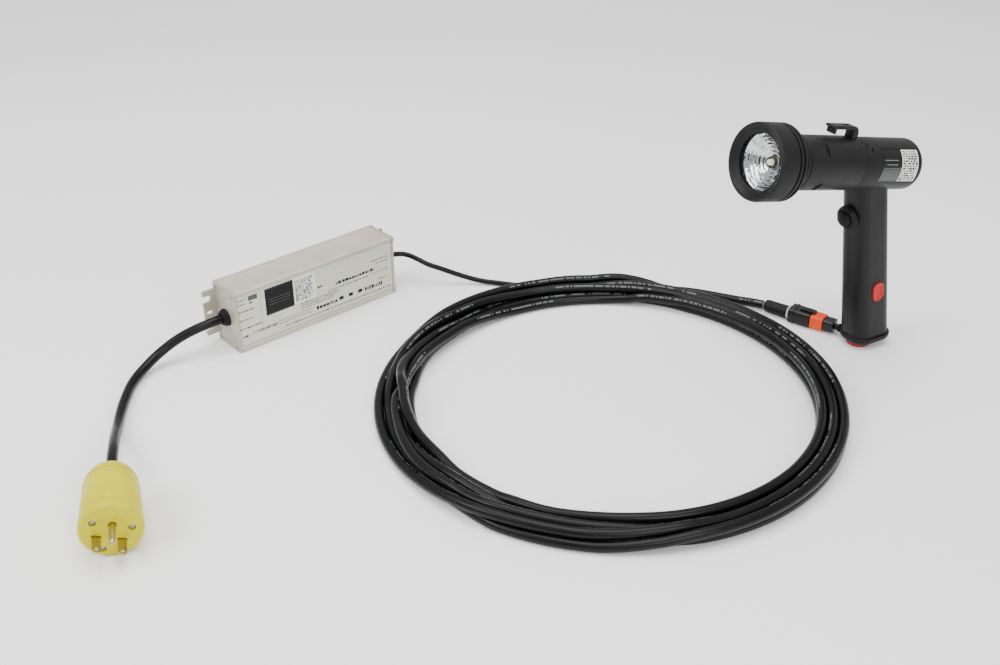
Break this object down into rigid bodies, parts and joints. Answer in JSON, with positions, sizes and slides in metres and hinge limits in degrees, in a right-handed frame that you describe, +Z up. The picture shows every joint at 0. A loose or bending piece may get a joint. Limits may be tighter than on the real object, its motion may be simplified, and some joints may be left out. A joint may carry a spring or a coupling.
{
  "type": "corded pistol-grip inspection light",
  "caption": "Pistol-grip LED hand lamp with a push-button trigger, on a coiled low-voltage cord from an inline power supply with a three-pin mains plug.",
  "frame": {"origin": "middle of the round foot under the handle, on the floor", "axes": "+Z up, the beam points towards -Y and a little up, +X is the lamp's left side"},
  "size_m": [0.514, 0.735, 0.244],
  "materials": {
    "housing": "matte, fine moulded grain",
    "black_rubber": "matt moulded rubber",
    "connector_nylon": "satin glass-filled nylon",
    "cord_jacket": "satin extruded jacket",
    "red_plastic": "satin",
    "red_rubber": "matt",
    "orange_seal": "satin",
    "light_ring": "satin",
    "yellow_plug": "satin nylon",
    "supply_aluminium": "satin clear finish",
    "supply_plate": "satin",
    "supply_label": "printed film",
    "lamp_label": "printed film",
    "reflector_chrome": "orange-peel mirror",
    "lens": "clear",
    "emitter": "phosphor under a clear dome",
    "bare_aluminium": "machined",
    "circuit_board": "solder mask",
    "switch_body": "moulded",
    "winding": "varnished copper",
    "capacitor_sleeve": "shrunk sleeve",
    "screw_steel": "zinc plated",
    "black_screw": "black oxide",
    "plug_brass": "nickel-worn brass"
  },
  "bodies": {
    "lamp": {"bezel_ring": "housing", "front_barrel": "housing", "rear_housing": "housing", "hang_hook": "housing", "handle_left_shell": "housing", "handle_right_shell": "housing", "base_cap": "housing", "lens_seal": "black_rubber", "neck_seal": "black_rubber", "trigger_collar": "black_rubber", "pigtail_gland": "black_rubber", "lead_splice": "black_rubber", "cord_sleeve": "black_rubber", "input_gland": "black_rubber", "output_gland": "black_rubber", "connector_tail": "connector_nylon", "connector_body": "connector_nylon", "pigtail_cord": "cord_jacket", "mains_cord": "cord_jacket", "output_lead": "cord_jacket", "cord_tail": "cord_jacket", "cord_coil": "cord_jacket", "base_foot": "red_rubber", "connector_wedge": "orange_seal", "connector_collar": "light_ring", "plug_body": "yellow_plug", "plug_face": "yellow_plug", "supply_case": "supply_aluminium", "supply_end_input": "supply_plate", "supply_end_output": "supply_plate", "supply_label": "supply_label", "rear_label": "lamp_label", "reflector": "reflector_chrome", "lens_glass": "lens", "led_emitter": "emitter", "led_board": "bare_aluminium", "heat_sink": "bare_aluminium", "driver_board": "circuit_board", "supply_board": "circuit_board", "trigger_switch": "switch_body", "side_switch": "switch_body", "supply_rectifier": "switch_body", "supply_transformer": "winding", "supply_choke": "winding", "supply_capacitor": "capacitor_sleeve", "housing_screw": "black_screw", "hook_screw": "black_screw", "handle_screw": "black_screw", "plug_screw_1": "screw_steel", "plug_screw_2": "screw_steel", "plug_screw_3": "screw_steel", "plug_clamp_screw": "screw_steel", "plug_blade_left": "plug_brass", "plug_blade_right": "plug_brass", "plug_ground_pin": "plug_brass"},
    "trigger": {"trigger_button": "black_rubber"},
    "side_button": {"side_button": "red_plastic"},
    "latch": {"connector_latch": "connector_nylon"}
  },
  "joints": [
    {"name": "trigger_press", "type": "slide", "parent": "lamp", "child": "trigger", "axis": [0, 0.9816, 0.1908], "range_m": [0, 0.003], "stiffness_N_per_m": 900, "springref_m": -0.002},
    {"name": "side_button_press", "type": "slide", "parent": "lamp", "child": "side_button", "axis": [-1, 0, 0], "range_m": [0, 0.0012], "stiffness_N_per_m": 900, "springref_m": -0.001},
    {"name": "latch_lift", "type": "hinge", "parent": "lamp", "child": "latch", "pos_m": [-0.05451, -0.02265, 0.0161], "axis": [0.4003, -0.9164, 0], "range_deg": [0, 8], "stiffness_Nm_per_rad": 0.06, "springref_deg": -2.86}
  ]
}
